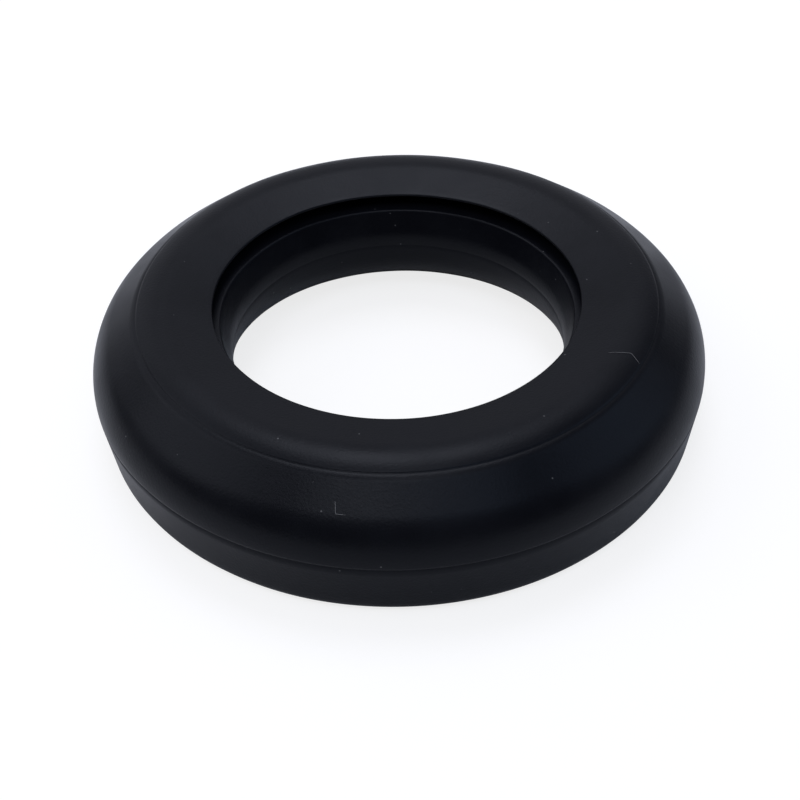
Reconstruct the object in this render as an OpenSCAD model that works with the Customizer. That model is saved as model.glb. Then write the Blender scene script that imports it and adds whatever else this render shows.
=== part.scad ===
// Ring cushion moulded in silicone rubber.
// One solid of revolution about Z. It stands on its flat base, with its origin at the base's centre.
// The thin flange round the opening overhangs a groove, which grips the edge of a plate.

/* [Body] */
// Outside diameter at the outer mould line
outer_d = 100; // [94:0.5:106]
// Height of the outer mould line above the base
mould_line_h = 10.3; // [9:0.1:11.2]
// Draft of the outer wall below the mould line, in degrees
wall_draft = 6.9; // [2:0.1:12]
// Radius of the outer bottom edge
foot_r = 2.4; // [1:0.1:4]

/* [Flank] */
// Width of the flank seen from above, from the shoulder line to the mould line
flank_w = 8.25; // [7:0.05:9.5]
// Slope of the flank below the shoulder line, in degrees
flank_slope = 37.5; // [34:0.5:40]

/* [Dished top] */
// Rise of the top from the rim to the shoulder, in degrees
top_rise = 12; // [8:0.5:15]
// Radius of the shoulder
shoulder_r = 9; // [6:0.25:11]
// Slope of the shoulder where it ends at the shoulder line, in degrees
shoulder_slope = 25; // [18:0.5:30]

/* [Flange] */
// Diameter of the opening through the flange
rim_d = 59.2; // [56:0.1:62]
// Height of the flange's top above the base, at the rim
rim_h = 20.5; // [19.5:0.05:21.5]
// Thickness of the flange at its rounded edge
flange_t = 0.5; // [0.4:0.05:1.2]

/* [Groove] */
// Wall between the groove's floor and the shoulder line
groove_wall = 5.55; // [4.7:0.05:7.6]
// Height of the groove's mouth
groove_gap = 2.25; // [1.2:0.05:2.5]
// Radius of the corners at the groove's floor
groove_corner_r = 0.4; // [0.2:0.05:0.45]

/* [Bore] */
// Diameter of the throat, the narrowest part of the bore
throat_d = 54.5; // [53:0.1:56]
// Length of the throat's straight land
throat_land = 0.8; // [0.6:0.1:1.5]
// Radius of the bore's wall above the throat
throat_upper_r = 7; // [5:0.25:9]
// Radius of the bore's wall below the throat, down to the base
throat_lower_r = 11.1; // [9.5:0.1:11.5]
// Lean of the bore's wall below the groove's lip, in degrees from upright
lip_lean = 17.5; // [12:0.5:24]
// Radius of the lip's edge
lip_edge_r = 0.35; // [0.2:0.05:0.6]

/* [Fine lines] */
// Width of the V-groove at the outer mould line and the shoulder line
line_w = 0.3; // [0.2:0.05:0.5]
// Depth of that V-groove
line_depth = 0.15; // [0.1:0.01:0.25]
// Width of the V-groove at the bore's mould line
bore_line_w = 0.2; // [0.1:0.05:0.3]
// Depth of that V-groove
bore_line_depth = 0.08; // [0.05:0.01:0.15]

/* [Hidden] */

// Facets round the axis and round each arc in a preview
ring_facets = 96;
arc_facets = 48;

half = 1 / 2;
right_angle = 90;
half_turn = 180;
tuck = 0.002; // how far a slanted line runs inside the arcs that it meets, so that they cross cleanly
past = 1; // how far the shoulder's cut runs past the end of its arc, in degrees
spare_reach = 2.5; // how far a corner's cut reaches, in radii of its arc
fan_steps = 4;

outer_r = outer_d * half;
rim_r = rim_d * half;
throat_r = throat_d * half;

// The point at polar angle a on the circle of radius r about c
function on_circle(c, r, a) = c + r * [cos(a), sin(a)];

// The point at radius x on the straight line through p that is square to polar angle a
function at_radius(p, a, x) = [x, p[1] - (x - p[0]) * cos(a) / sin(a)];

// The point at height h on that line
function at_height(p, a, h) = [p[0] - (h - p[1]) * sin(a) / cos(a), h];

// Flange: its edge is a full round, its top rises outwards and its underside is level
flange_edge_r = flange_t * half;
flange_c = [rim_r + flange_edge_r, rim_h - flange_edge_r];
flange_under_h = rim_h - flange_t;
flange_blank_r = rim_r - flange_edge_r; // the flange's square end, before its edge is rounded
top_a = right_angle + top_rise;
top_line = on_circle(flange_c, flange_edge_r - tuck, top_a);

// Dished top: the shoulder's arc touches the rising top and ends at the shoulder line
top_r = outer_r - flank_w;
shoulder_end_a = right_angle - shoulder_slope;
shoulder_c = at_radius(
    on_circle(flange_c, flange_edge_r - shoulder_r, top_a),
    top_a,
    top_r - shoulder_r * cos(shoulder_end_a)
);
shoulder_end = on_circle(shoulder_c, shoulder_r, shoulder_end_a);

// Flank: a cone from the shoulder line, then an arc that is upright at the mould line
flank_a = right_angle - flank_slope;
flank_drop = shoulder_end[1] - mould_line_h;
flank_r = (flank_drop * sin(flank_a) - flank_w * cos(flank_a)) / (1 - cos(flank_a));
flank_c = [outer_r - flank_r, mould_line_h];

// Drafted wall below the mould line, down to the rounded foot
foot_c = [outer_r - (mould_line_h - foot_r) * tan(wall_draft) - foot_r / cos(wall_draft), foot_r];
wall_foot = at_height(on_circle(foot_c, foot_r - tuck, -wall_draft), -wall_draft, 0);

// Bore: a wide round from the base to the throat, the land, and the wall up to the lip
lower_c = [throat_r + throat_lower_r, throat_lower_r];
land_foot_h = throat_lower_r + bore_line_w;
upper_c = [throat_r + throat_upper_r, land_foot_h + throat_land];
shelf_h = flange_under_h - groove_gap;
bore_a = half_turn - lip_lean;
bore_wall = on_circle(upper_c, throat_upper_r - tuck, bore_a);
lip_c = at_height(on_circle(upper_c, throat_upper_r - lip_edge_r, bore_a), bore_a, shelf_h - lip_edge_r);
bore_line = [throat_r, throat_lower_r + bore_line_w * half];

// Groove: its floor, and the centres of the rounded corners there
groove_r = top_r - groove_wall;
shelf_corner_c = [groove_r - groove_corner_r, shelf_h + groove_corner_r];
under_corner_c = [groove_r - groove_corner_r, flange_under_h - groove_corner_r];

// The section's straight lines, run on to sharp corners, with a chord across each corner of the groove
blank_outline = [
    [throat_r, 0],
    at_radius(bore_wall, bore_a, throat_r),
    at_height(bore_wall, bore_a, shelf_h),
    [shelf_corner_c[0], shelf_h],
    [groove_r, shelf_corner_c[1]],
    [groove_r, under_corner_c[1]],
    [under_corner_c[0], flange_under_h],
    [flange_blank_r, flange_under_h],
    at_radius(top_line, top_a, flange_blank_r),
    at_radius(top_line, top_a, top_r),
    shoulder_end,
    at_radius(on_circle(flank_c, flank_r - tuck, flank_a), flank_a, outer_r),
    [outer_r, mould_line_h],
    wall_foot
];

// Fan of triangles about the origin, from polar angle a0 to a1
module fan(r, a0, a1) {
    step = (a1 - a0) / fan_steps;
    polygon(concat([[0, 0]], [for (i = [0 : fan_steps]) on_circle([0, 0], r, a0 + i * step)]));
}

// What a corner loses when it is rounded by the arc of radius r about c
module corner_spare(c, r, a0, a1) {
    translate(c)
        difference() {
            fan(spare_reach * r, a0, a1);
            circle(r = r, $fn = arc_facets);
        }
}

// Quarter of the groove's corner round, from polar angle a0
module groove_corner(c, a0) {
    translate(c)
        intersection() {
            circle(r = groove_corner_r, $fn = arc_facets);
            fan(spare_reach * groove_corner_r, a0, a0 + right_angle);
        }
}

// V-groove in the surface at point p, where the outward normal has polar angle a
module fine_line(p, a, w, depth) {
    translate(p)
        rotate(a)
            polygon([[-depth, 0], [depth, w], [depth, -w]]);
}

module ring_section() {
    difference() {
        polygon(blank_outline);
        corner_spare(lower_c, throat_lower_r, half_turn, half_turn + right_angle);
        corner_spare(upper_c, throat_upper_r, bore_a, half_turn);
        corner_spare(lip_c, lip_edge_r, right_angle, bore_a);
        corner_spare(flange_c, flange_edge_r, top_a, half_turn + right_angle);
        corner_spare(shoulder_c, shoulder_r, shoulder_end_a - past, top_a);
        corner_spare(flank_c, flank_r, 0, flank_a);
        corner_spare(foot_c, foot_r, -right_angle, -wall_draft);
        groove_corner(shelf_corner_c, -right_angle);
        groove_corner(under_corner_c, 0);
        fine_line([outer_r, mould_line_h], 0, line_w * half, line_depth);
        fine_line(shoulder_end, shoulder_end_a, line_w * half, line_depth);
        fine_line(bore_line, half_turn, bore_line_w * half, bore_line_depth);
    }
}

module cushion_ring() {
    color([0.045, 0.046, 0.052])
        rotate_extrude($fn = ring_facets) ring_section();
}

cushion_ring();
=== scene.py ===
"""A ring cushion moulded in black silicone rubber, dressed over its CAD solid and set on a pale floor."""

import math
import random

import bpy
import numpy as np
from mathutils import Matrix, Vector


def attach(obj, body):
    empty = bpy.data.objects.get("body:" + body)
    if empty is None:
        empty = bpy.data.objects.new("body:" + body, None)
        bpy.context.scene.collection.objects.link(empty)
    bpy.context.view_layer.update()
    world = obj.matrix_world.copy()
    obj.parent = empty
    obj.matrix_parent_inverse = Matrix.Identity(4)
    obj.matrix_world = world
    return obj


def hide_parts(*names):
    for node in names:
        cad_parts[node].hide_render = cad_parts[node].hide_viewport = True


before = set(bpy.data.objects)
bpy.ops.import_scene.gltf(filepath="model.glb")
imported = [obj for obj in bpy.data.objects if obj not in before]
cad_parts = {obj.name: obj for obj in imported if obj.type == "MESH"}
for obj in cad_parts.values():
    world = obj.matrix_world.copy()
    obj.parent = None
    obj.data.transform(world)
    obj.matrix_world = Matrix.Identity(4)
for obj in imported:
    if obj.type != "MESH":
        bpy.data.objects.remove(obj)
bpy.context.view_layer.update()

# A millimetre in metres, a full turn and a right angle
MM = 0.001
TURN = 2 * math.pi
RIGHT = math.pi / 2

# The ring's section, in millimetres, as in the part's source
OUTER_R = 50.0
MOULD_LINE_H = 10.3
WALL_DRAFT = math.radians(6.9)
FOOT_R = 2.4
FLANK_W = 8.25
FLANK_SLOPE = math.radians(37.5)
TOP_RISE = math.radians(12.0)
SHOULDER_R = 9.0
SHOULDER_SLOPE = math.radians(25.0)
RIM_R = 29.6
RIM_H = 20.5
FLANGE_T = 0.5
GROOVE_WALL = 5.55
GROOVE_GAP = 2.25
GROOVE_CORNER_R = 0.4
THROAT_R = 27.25
THROAT_LAND = 0.8
THROAT_UPPER_R = 7.0
THROAT_LOWER_R = 11.1
LIP_LEAN = math.radians(17.5)
LIP_EDGE_R = 0.35

# The fine moulded lines, in millimetres. The shoulder's has a depth at the front and one at the back.
LINE_W = 0.3
MOULD_LINE_DEPTH = 0.15
SHOULDER_LINE_DEPTH = (0.17, 0.05)
BORE_LINE_W = 0.2
BORE_LINE_DEPTH = 0.04

# Moulded rubber is never quite true: waves round the ring, as (waves in a turn, depth in mm)
RING_SEGMENTS = 400
SEED = 7
WAVES = ((2, 0.05), (3, 0.035), (5, 0.02), (9, 0.012), (17, 0.006))

# The rubber's gloss and colour, bare and under a dull film, and the noise values between which the film sets in
SPECULAR_LEVEL = 0.125
SPECULAR_TINT = (0.92, 0.96, 1.0)
RUBBER = (0.0026, 0.0029, 0.0046)
FILM = (0.004, 0.0044, 0.0064)
ROUGHNESS = (0.31, 0.4)
FILM_EDGES = (0.35, 0.65)

# Noise on the rubber and the lint, as (size in mm, detail), and its depth in mm where it is a bump
FILM_NOISE = (14, 5)
DIMPLE_NOISE = (7, 1)
DIMPLE_DEPTH = 0.02
GRAIN_NOISE = (0.4, 2)
GRAIN_DEPTH = 0.028
LINT_NOISE = (1, 2)
NOISE_ROUGHNESS = 0.55

# Flecks of dust on the rubber: their colour, and their spacing and radius in mm
FLECK = (0.1, 0.1, 0.1)
FLECK_SPACING = 3.6
FLECK_R = 0.16

# Fibres of lint on the top and the flank, each over places given as (azimuth in degrees, radius in mm).
# A fibre's middle is lifted off the rubber by a share of its radius.
LINT = (
    ((-30.2, 36.5), (-29.2, 38.2), (-28.2, 39.6), (-29.8, 41.4)),
    ((-102.2, 45.1), (-102.0, 45.6), (-101.8, 46.5), (-100.0, 46.5)),
)
LINT_R = 0.05
LINT_LIFT = 0.8
LINT_STEPS = 16
LINT_SIDES = 6
LINT_DARK = (0.08, 0.08, 0.08)
LINT_PALE = (0.2, 0.2, 0.2)
LINT_ROUGHNESS = (0.75, 0.95)
LINT_SPECULAR = 0.2

# Round lamps, as (name, azimuth, height angle, diameter, radiance, colour), with the camera at azimuth -90.
# All are at one distance from a point above the floor's middle, and lengths are in metres.
LAMP_DISTANCE = 1.2
LAMP_AIM_H = 0.015
DAYLIGHT = (0.98, 1.0, 1.12)
SHADE = (0.78, 1.0, 1.38)
LAMPS = (
    ("overhead", 96, 66, 0.6, 3.9, DAYLIGHT),
    ("back", 90, 50, 1.5, 0.4, DAYLIGHT),
    ("back_low_left", 122, 9, 0.9, 0.35, DAYLIGHT),
    ("back_low", 90, 9, 0.9, 0.18, DAYLIGHT),
    ("back_low_right", 62, 9, 0.9, 0.22, DAYLIGHT),
    ("back_left", 144, 35, 0.9, 0.56, DAYLIGHT),
    ("left", 180, 40, 0.9, 1.35, DAYLIGHT),
    ("right", 0, 35, 0.9, 0.7, SHADE),
    ("front_left", -120, 60, 0.45, 2.8, DAYLIGHT),
    ("front", -90, 66, 0.45, 2.0, DAYLIGHT),
    ("zenith", -90, 84, 0.4, 1.6, DAYLIGHT),
    ("front_right", -60, 56, 0.45, 1.4, SHADE),
)
SKY = 0.12

# The floor, in metres, and its reflectance
FLOOR_HALF = 3.0
FLOOR = 0.9

# The floor's own white: its strength, the shares of it that the camera sees, as (distance in m, share),
# and the share that glossy and clear surfaces see. Near the ring it is low enough for the shadow to show.
GLOW = 1.13
GLOW_NEAR = (0.15, 0.7)
GLOW_FAR = (0.6, 0.9)
GLOW_MIRRORED = 0.02

# The camera: its distance from the centre of the rim, in mm, its height angle, and how the picture is framed
CAMERA_DISTANCE = 222.8
CAMERA_ELEVATION = math.radians(37.01)
CAMERA_ROLL = -0.038
AIM_DOWN = math.radians(4.366)
AIM_RIGHT = math.radians(0.158)
LENS = 62.07
SENSOR_W = 36
CLIP_START = 0.01


def on_circle(c, r, a):
    return np.array(c) + r * np.array([math.cos(a), math.sin(a)])


def arc(c, r, a0, a1, steps):
    return [on_circle(c, r, a) for a in np.linspace(a0, a1, steps + 1)]


def line(p, q, steps):
    """Points between p and q, without p and q themselves."""
    return [np.array(p) + (np.array(q) - np.array(p)) * i / steps for i in range(1, steps)]


def ring_section(shoulder_line):
    """The closed section, as (radius, height) round from the outer wall, with a shoulder line of this depth."""
    # flange and dished top
    edge_r = FLANGE_T / 2
    flange_c = (RIM_R + edge_r, RIM_H - edge_r)
    under_h = RIM_H - FLANGE_T
    top_a = RIGHT + TOP_RISE
    # shoulder
    top_r = OUTER_R - FLANK_W
    shoulder_a = RIGHT - SHOULDER_SLOPE
    start = on_circle(flange_c, edge_r - SHOULDER_R, top_a)
    shoulder_x = top_r - SHOULDER_R * math.cos(shoulder_a)
    shoulder_c = (shoulder_x, start[1] - (shoulder_x - start[0]) * math.cos(top_a) / math.sin(top_a))
    shoulder_end = on_circle(shoulder_c, SHOULDER_R, shoulder_a)
    # flank
    flank_a = RIGHT - FLANK_SLOPE
    drop = shoulder_end[1] - MOULD_LINE_H
    flank_r = (drop * math.sin(flank_a) - FLANK_W * math.cos(flank_a)) / (1 - math.cos(flank_a))
    flank_c = (OUTER_R - flank_r, MOULD_LINE_H)
    flank_top = shoulder_end + LINE_W / 2 * np.array([math.sin(flank_a), -math.cos(flank_a)])
    # outer wall
    foot_x = OUTER_R - (MOULD_LINE_H - FOOT_R) * math.tan(WALL_DRAFT) - FOOT_R / math.cos(WALL_DRAFT)
    foot_c = (foot_x, FOOT_R)
    wall_top = (OUTER_R - LINE_W / 2 * math.tan(WALL_DRAFT), MOULD_LINE_H - LINE_W / 2)
    # throat
    lower_c = (THROAT_R + THROAT_LOWER_R, THROAT_LOWER_R)
    land_foot = THROAT_LOWER_R + BORE_LINE_W
    upper_c = (THROAT_R + THROAT_UPPER_R, land_foot + THROAT_LAND)
    # leaning bore wall and its lip
    bore_a = 2 * RIGHT - LIP_LEAN
    wall_start = on_circle(upper_c, THROAT_UPPER_R, bore_a)
    shelf_h = under_h - GROOVE_GAP
    inset = on_circle(upper_c, THROAT_UPPER_R - LIP_EDGE_R, bore_a)
    lip_h = shelf_h - LIP_EDGE_R
    lip_c = (inset[0] + (lip_h - inset[1]) * math.tan(LIP_LEAN), lip_h)
    # groove
    corner_x = top_r - GROOVE_WALL - GROOVE_CORNER_R

    # from the outer wall down, under the ring, up the bore, through the groove and over the top
    points = arc(foot_c, FOOT_R, -WALL_DRAFT, -RIGHT, 8)
    points += line((foot_c[0], 0), (lower_c[0], 0), 4)
    points += arc(lower_c, THROAT_LOWER_R, -RIGHT, -2 * RIGHT, 20)
    points += [(THROAT_R + BORE_LINE_DEPTH, THROAT_LOWER_R + BORE_LINE_W / 2), (THROAT_R, land_foot)]
    points += arc(upper_c, THROAT_UPPER_R, 2 * RIGHT, bore_a, 8)
    points += line(wall_start, on_circle(lip_c, LIP_EDGE_R, bore_a), 5)
    points += arc(lip_c, LIP_EDGE_R, bore_a, RIGHT, 6)
    points += line((lip_c[0], shelf_h), (corner_x, shelf_h), 5)
    points += arc((corner_x, shelf_h + GROOVE_CORNER_R), GROOVE_CORNER_R, -RIGHT, 0, 4)
    points += arc((corner_x, under_h - GROOVE_CORNER_R), GROOVE_CORNER_R, 0, RIGHT, 4)
    points += line((corner_x, under_h), (flange_c[0], under_h), 5)
    points += arc(flange_c, edge_r, 3 * RIGHT, top_a, 10)
    points += line(points[-1], on_circle(shoulder_c, SHOULDER_R, top_a), 8)
    points += arc(shoulder_c, SHOULDER_R, top_a, shoulder_a + LINE_W / 2 / SHOULDER_R, 24)
    points += [on_circle(shoulder_end, -shoulder_line, shoulder_a), flank_top]
    points += line(flank_top, on_circle(flank_c, flank_r, flank_a), 5)
    points += arc(flank_c, flank_r, flank_a, math.asin(LINE_W / 2 / flank_r), 24)
    points += [(OUTER_R - MOULD_LINE_DEPTH, MOULD_LINE_H), wall_top]
    points += line(wall_top, points[0], 6)
    return np.array(points[::-1])


def ring_waves(turns, rng):
    return sum(depth * np.sin(waves * turns + rng.uniform(0, TURN)) for waves, depth in WAVES)


def revolve(name, front, back):
    """A closed, slightly wavy mesh turned about Z, in metres, whose section changes from front to back."""
    n = len(front)
    turns = np.linspace(0, TURN, RING_SEGMENTS, endpoint=False)[:, None]
    rng = random.Random(SEED)
    lift = ring_waves(turns, rng)
    swell = ring_waves(turns, rng)
    share = (1 + np.sin(turns)) / 2
    radius, height = (front[:, i] + (back - front)[:, i] * share for i in range(2))
    radius = radius + swell
    height = height + lift * height / RIM_H
    co = np.stack([np.cos(turns) * radius, np.sin(turns) * radius, height], axis=-1) * MM
    faces = []
    for i in range(RING_SEGMENTS):
        a, b = i * n, (i + 1) % RING_SEGMENTS * n
        faces += [(a + j, b + j, b + (j + 1) % n, a + (j + 1) % n) for j in range(n)]
    return new_piece(name, co.reshape(-1, 3).tolist(), faces)


def new_piece(name, vertices, faces):
    mesh = bpy.data.meshes.new(name)
    mesh.from_pydata(vertices, [], faces)
    mesh.polygons.foreach_set("use_smooth", [True] * len(mesh.polygons))
    mesh.update()
    obj = bpy.data.objects.new(name, mesh)
    bpy.context.scene.collection.objects.link(obj)
    return obj


def new_material(name):
    mat = bpy.data.materials.new(name)
    mat.use_nodes = True
    return mat, mat.node_tree, mat.node_tree.nodes["Principled BSDF"]


def node(tree, kind, inputs, **settings):
    """A new node with its settings, whose inputs are linked to sockets or set to values."""
    made = tree.nodes.new(kind)
    for key, value in settings.items():
        setattr(made, key, value)
    for key, value in inputs.items():
        if isinstance(value, bpy.types.NodeSocket):
            tree.links.new(value, made.inputs[key])
        else:
            made.inputs[key].default_value = value
    return made


def noise(tree, where, size, detail):
    """Soft noise whose patches are about this size, in mm."""
    inputs = {"Vector": where, "Scale": 1 / (size * MM), "Detail": detail, "Roughness": NOISE_ROUGHNESS}
    return node(tree, "ShaderNodeTexNoise", inputs).outputs["Fac"]


def ramp(tree, value, low, high, at_low, at_high):
    inputs = {"Value": value, "From Min": low, "From Max": high, "To Min": at_low, "To Max": at_high}
    return node(tree, "ShaderNodeMapRange", inputs).outputs["Result"]


def blend(tree, share, first, second):
    """A mix of two colours, each of them a tuple or a socket."""
    ends = [end if isinstance(end, bpy.types.NodeSocket) else (*end, 1) for end in (first, second)]
    return node(tree, "ShaderNodeMix", {0: share, 6: ends[0], 7: ends[1]}, data_type="RGBA").outputs[2]


def silicone():
    """Matte black rubber: a dull film in patches, shallow dimples, a fine grain and a few flecks of dust."""
    mat, tree, shader = new_material("silicone")
    shader.inputs["Specular IOR Level"].default_value = SPECULAR_LEVEL
    shader.inputs["Specular Tint"].default_value = (*SPECULAR_TINT, 1)
    where = node(tree, "ShaderNodeTexCoord", {}).outputs["Object"]
    film = ramp(tree, noise(tree, where, *FILM_NOISE), *FILM_EDGES, 0, 1)
    cells = node(tree, "ShaderNodeTexVoronoi", {"Vector": where, "Scale": 1 / (FLECK_SPACING * MM)})
    size = FLECK_R / FLECK_SPACING
    fleck = ramp(tree, cells.outputs["Distance"], size / 2, size, 1, 0)
    colour = blend(tree, fleck, blend(tree, film, RUBBER, FILM), FLECK)
    rough = ramp(tree, film, 0, 1, *ROUGHNESS)
    dimples = {"Height": noise(tree, where, *DIMPLE_NOISE), "Distance": DIMPLE_DEPTH * MM}
    dimpled = node(tree, "ShaderNodeBump", dimples).outputs[0]
    grain = {"Height": noise(tree, where, *GRAIN_NOISE), "Distance": GRAIN_DEPTH * MM, "Normal": dimpled}
    grained = node(tree, "ShaderNodeBump", grain).outputs[0]
    tree.links.new(colour, shader.inputs["Base Color"])
    tree.links.new(rough, shader.inputs["Roughness"])
    tree.links.new(grained, shader.inputs["Normal"])
    return mat


def lay_fibre(ring, places):
    """Points on the ring along a fibre that runs over the places, and the surface's normal at each."""
    steps = np.linspace(0, len(places) - 1, LINT_STEPS + 1)
    azimuths, radii = (np.interp(steps, range(len(places)), row) for row in zip(*places))
    spine, normals = [], []
    for azimuth, radius in zip(azimuths, radii):
        above = (*on_circle((0, 0), radius * MM, math.radians(azimuth)), 1)
        _, seat, normal, _ = ring.ray_cast(above, (0, 0, -1))
        spine.append(seat)
        normals.append(normal)
    return spine, normals


def lint(ring):
    """The fibres of lint that cling to the rubber: fine closed tubes laid along its surface."""
    bpy.context.view_layer.update()
    vertices, faces = [], []
    for places in LINT:
        spine, normals = lay_fibre(ring, places)
        first = len(vertices)
        for i, (seat, normal) in enumerate(zip(spine, normals)):
            along = (spine[min(i + 1, LINT_STEPS)] - spine[max(i - 1, 0)]).normalized()
            r = LINT_R * MM * math.sqrt(math.sin(math.pi * (i + 0.5) / (LINT_STEPS + 1)))
            turned = [Matrix.Rotation(TURN * j / LINT_SIDES, 3, along) @ normal * r for j in range(LINT_SIDES)]
            vertices += [seat + normal * r * LINT_LIFT + v for v in turned]
        last = len(vertices) - LINT_SIDES
        for row in range(first, last, LINT_SIDES):
            for j in range(LINT_SIDES):
                k = (j + 1) % LINT_SIDES
                faces.append((row + j, row + k, row + LINT_SIDES + k, row + LINT_SIDES + j))
        faces += [tuple(range(first + LINT_SIDES - 1, first - 1, -1)), tuple(range(last, last + LINT_SIDES))]
    return new_piece("lint", vertices, faces)


def lint_fluff():
    """Pale fluff, a little darker in places."""
    mat, tree, shader = new_material("lint")
    shader.inputs["Specular IOR Level"].default_value = LINT_SPECULAR
    where = node(tree, "ShaderNodeTexCoord", {}).outputs["Object"]
    patch = noise(tree, where, *LINT_NOISE)
    tree.links.new(blend(tree, patch, LINT_DARK, LINT_PALE), shader.inputs["Base Color"])
    tree.links.new(ramp(tree, patch, 0, 1, *LINT_ROUGHNESS), shader.inputs["Roughness"])
    return mat


def glow_share(tree):
    """How much of the floor's own white is seen: much by the camera, little in a glossy or clear surface."""
    path = node(tree, "ShaderNodeLightPath", {})
    where = node(tree, "ShaderNodeTexCoord", {}).outputs["Object"]
    away = node(tree, "ShaderNodeVectorMath", {0: where}, operation="LENGTH").outputs["Value"]
    seen = ramp(tree, away, GLOW_NEAR[0], GLOW_FAR[0], GLOW_NEAR[1], GLOW_FAR[1])
    mirrored = {0: path.outputs["Is Glossy Ray"], 1: path.outputs["Is Transmission Ray"]}
    mirrored = node(tree, "ShaderNodeMath", mirrored, operation="ADD").outputs[0]
    mirrored = node(tree, "ShaderNodeMath", {0: mirrored, 1: GLOW_MIRRORED}, operation="MULTIPLY").outputs[0]
    share = {0: path.outputs["Is Camera Ray"], 1: seen, 2: mirrored}
    return node(tree, "ShaderNodeMath", share, operation="MULTIPLY_ADD").outputs[0]


def lay_floor():
    """A pale floor that keeps the ring's shadow, with some white of its own."""
    corners = [(x * FLOOR_HALF, y * FLOOR_HALF, 0) for x, y in ((-1, -1), (1, -1), (1, 1), (-1, 1))]
    floor = new_piece("floor", corners, [(0, 1, 2, 3)])
    mat, tree, shader = new_material("floor")
    tree.nodes.remove(shader)
    lit = node(tree, "ShaderNodeBsdfDiffuse", {"Color": (FLOOR, FLOOR, FLOOR, 1)})
    glow = node(tree, "ShaderNodeEmission", {"Strength": GLOW})
    mixed = node(tree, "ShaderNodeMixShader", {0: glow_share(tree), 1: lit.outputs[0], 2: glow.outputs[0]})
    tree.links.new(mixed.outputs[0], tree.nodes["Material Output"].inputs["Surface"])
    floor.data.materials.append(mat)


def dim_sky():
    """A dim sky that the camera sees as white."""
    world = bpy.data.worlds.new("studio")
    world.use_nodes = True
    bpy.context.scene.world = world
    tree = world.node_tree
    sky = tree.nodes["Background"]
    sky.inputs["Color"].default_value = (*DAYLIGHT, 1)
    sky.inputs["Strength"].default_value = SKY
    white = node(tree, "ShaderNodeBackground", {"Color": (1, 1, 1, 1), "Strength": 1})
    seen = node(tree, "ShaderNodeLightPath", {}).outputs["Is Camera Ray"]
    mixed = node(tree, "ShaderNodeMixShader", {0: seen, 1: sky.outputs[0], 2: white.outputs[0]})
    tree.links.new(mixed.outputs[0], tree.nodes["World Output"].inputs["Surface"])


def hang_lamps():
    """Round lamps that face the ring. The energy of each is its radiance times its area and pi."""
    for name, azimuth, height, size, radiance, colour in LAMPS:
        lamp = bpy.data.lights.new(name, "AREA")
        lamp.shape = "DISK"
        lamp.size = size
        lamp.color = colour
        lamp.energy = radiance * math.pi * math.pi * (size / 2) ** 2
        obj = bpy.data.objects.new(name, lamp)
        flat, rise = math.radians(azimuth), math.radians(height)
        aim = Vector((math.cos(flat) * math.cos(rise), math.sin(flat) * math.cos(rise), math.sin(rise)))
        obj.location = Vector((0, 0, LAMP_AIM_H)) + aim * LAMP_DISTANCE
        obj.rotation_euler = aim.to_track_quat("Z", "Y").to_euler()
        bpy.context.scene.collection.objects.link(obj)


def camera():
    """A camera in front of the ring and above it, aimed a little below and to the right of the rim's centre."""
    data = bpy.data.cameras.new("camera")
    data.lens = LENS
    data.sensor_width = SENSOR_W
    data.clip_start = CLIP_START
    obj = bpy.data.objects.new("camera", data)
    bpy.context.scene.collection.objects.link(obj)
    back = CAMERA_DISTANCE * MM
    place = (0, -back * math.cos(CAMERA_ELEVATION), RIM_H * MM + back * math.sin(CAMERA_ELEVATION))
    turn = Matrix.Rotation(RIGHT - CAMERA_ELEVATION, 4, "X")
    turn = turn @ Matrix.Rotation(CAMERA_ROLL, 4, "Z")
    turn = turn @ Matrix.Rotation(-AIM_DOWN, 4, "X")
    turn = turn @ Matrix.Rotation(-AIM_RIGHT, 4, "Y")
    obj.matrix_world = Matrix.Translation(place) @ turn
    bpy.context.scene.camera = obj


ring = revolve("silicone_ring", *(ring_section(depth) for depth in SHOULDER_LINE_DEPTH))
ring.data.materials.append(silicone())
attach(ring, "root")
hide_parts("cushion_ring")
fluff = lint(ring)
fluff.data.materials.append(lint_fluff())
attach(fluff, "root")
lay_floor()
dim_sky()
hang_lamps()
camera()
bpy.context.scene.view_settings.view_transform = "Standard"
